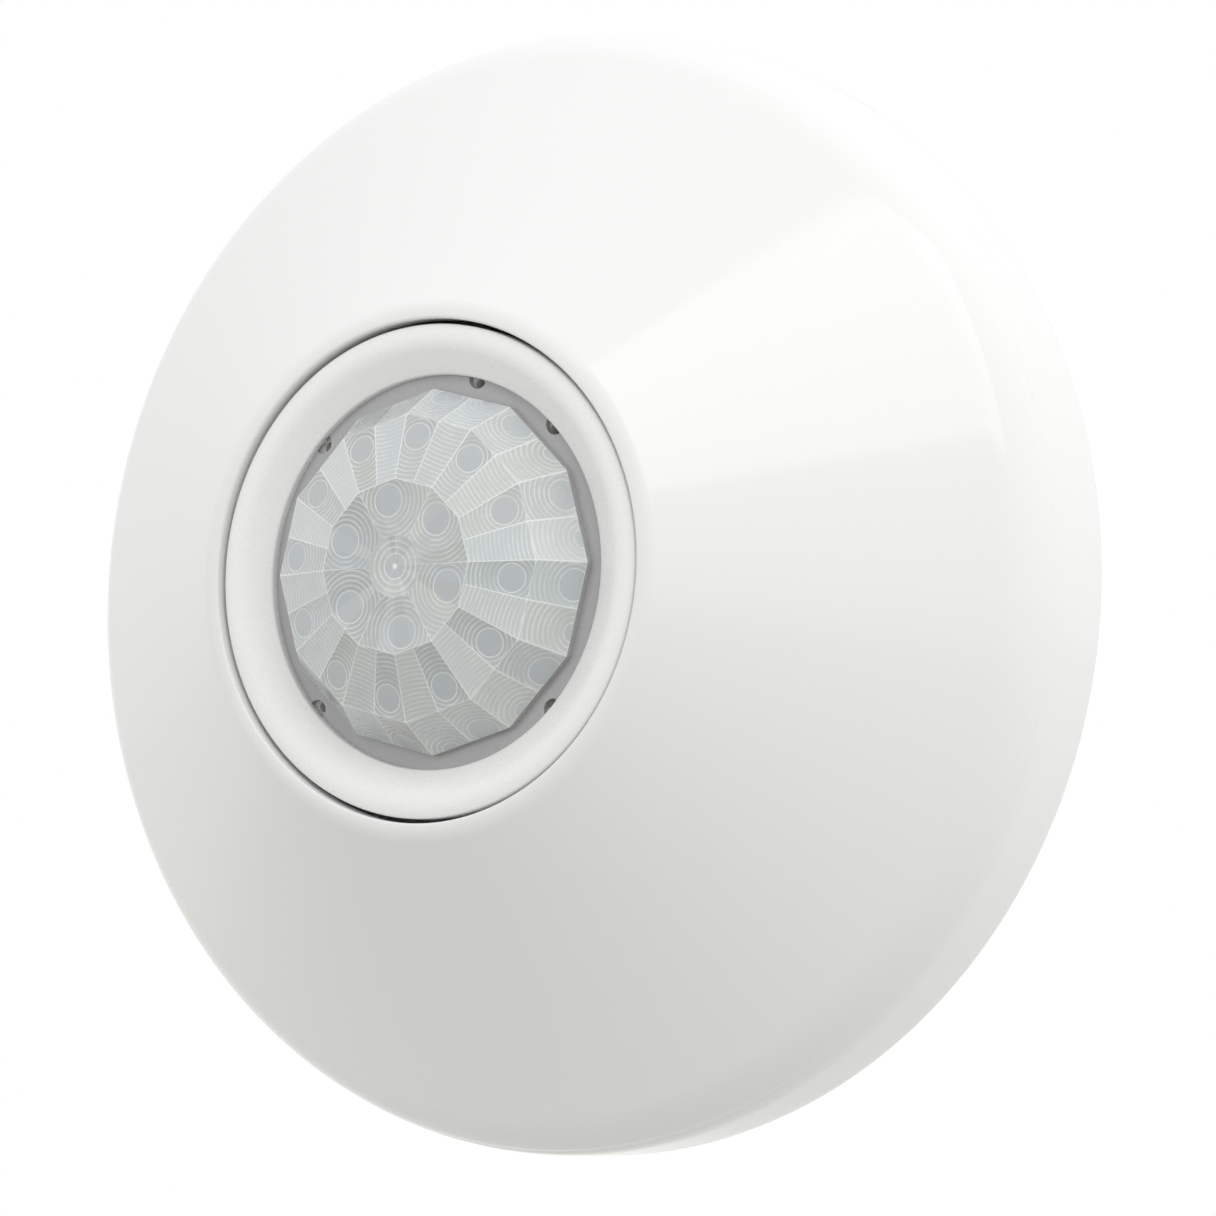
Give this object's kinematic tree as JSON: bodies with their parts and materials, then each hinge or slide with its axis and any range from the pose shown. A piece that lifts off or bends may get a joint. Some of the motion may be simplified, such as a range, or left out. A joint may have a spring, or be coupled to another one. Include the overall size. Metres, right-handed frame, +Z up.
{
  "type": "motion sensor",
  "caption": "Round surface-mount infrared motion sensor: white conical pull-off cover, dished ring and faceted milky lens dome over an inner housing, circuit boards and a slotted back plate.",
  "frame": {"origin": "centre of the flat mounting face of the back plate", "axes": "+Y points out of the mounting face into the wall or ceiling, the lens looks along -Y, +Z up with the wire entry at the bottom"},
  "size_m": [0.1156, 0.0394, 0.1156],
  "materials": {
    "cover_plastic": "satin moulded white plastic",
    "ring_plastic": "satin moulded white plastic",
    "lens_film": "milky translucent polyethylene with moulded grooves",
    "housing_plastic": "fine-textured white plastic",
    "plate_plastic": "fine-textured white plastic",
    "soft_grey": "soft grey elastomer",
    "zinc_steel": "bright zinc-plated steel",
    "nickel_steel": "nickel-plated steel",
    "board_green": "green solder mask on glass-fibre laminate",
    "terminal_green": "moulded green plastic",
    "black_plastic": "black moulded plastic",
    "relay_plastic": "blue moulded plastic case",
    "film_plastic": "dark red potted plastic case",
    "aluminium_can": "drawn aluminium can",
    "tinned_copper": "tinned copper",
    "ferrite": "sintered ferrite",
    "copper_wire": "enamelled copper wire",
    "ceramic_white": "ceramic",
    "trimmer_blue": "blue moulded plastic",
    "dial_plastic": "light grey moulded plastic",
    "button_plastic": "mid grey moulded plastic",
    "nylon": "natural nylon",
    "silicon_window": "coated silicon",
    "led_red": "tinted clear epoxy",
    "photocell_clear": "clear epoxy over a sensor track"
  },
  "bodies": {
    "base": {"lens_ring": "ring_plastic", "fresnel_lens": "lens_film", "lens_retainer": "housing_plastic", "sensor_housing": "housing_plastic", "back_plate": "plate_plastic", "wire_grommet": "soft_grey", "housing_screws": "zinc_steel", "board_screws": "zinc_steel", "main_board": "board_green", "sensor_board": "board_green", "board_header": "black_plastic", "header_pins": "tinned_copper", "board_spacers": "nylon", "terminal_block": "terminal_green", "terminal_cages": "nickel_steel", "terminal_screws": "zinc_steel", "relay": "relay_plastic", "relay_pins": "tinned_copper", "large_capacitor": "aluminium_can", "small_capacitors": "aluminium_can", "film_capacitor": "film_plastic", "inductor_core": "ferrite", "inductor_winding": "copper_wire", "solder_leads": "tinned_copper", "board_chips": "black_plastic", "chip_legs": "tinned_copper", "regulator": "black_plastic", "surface_resistors": "ceramic_white", "trimmer_bodies": "trimmer_blue", "switch_body": "black_plastic", "pyro_base": "nickel_steel", "pyro_can": "nickel_steel", "pyro_window": "silicon_window", "pyro_element": "ceramic_white", "pyro_pins": "tinned_copper", "pyro_spacer": "nylon", "light_shield": "black_plastic", "status_led": "led_red", "photocell": "photocell_clear", "indicator_leads": "tinned_copper"},
    "cover": {"cover": "cover_plastic"},
    "button": {"program_button": "button_plastic", "switch_plunger": "nylon"},
    "time_dial": {"time_dial": "dial_plastic"},
    "light_dial": {"light_dial": "dial_plastic"}
  },
  "joints": [
    {"name": "cover_pull", "type": "slide", "parent": "base", "child": "cover", "axis": [0, -1, 0], "range_m": [0, 0.045]},
    {"name": "button_press", "type": "slide", "parent": "base", "child": "button", "axis": [0, 1, 0], "range_m": [0, 0.0005], "stiffness_N_per_m": 1500},
    {"name": "time_turn", "type": "hinge", "parent": "base", "child": "time_dial", "pos_m": [0.02529, 0, 0.0146], "axis": [0, -1, 0], "range_deg": [-135, 135]},
    {"name": "light_turn", "type": "hinge", "parent": "base", "child": "light_dial", "pos_m": [0.01371, 0, 0.02578], "axis": [0, -1, 0], "range_deg": [-135, 135]}
  ]
}
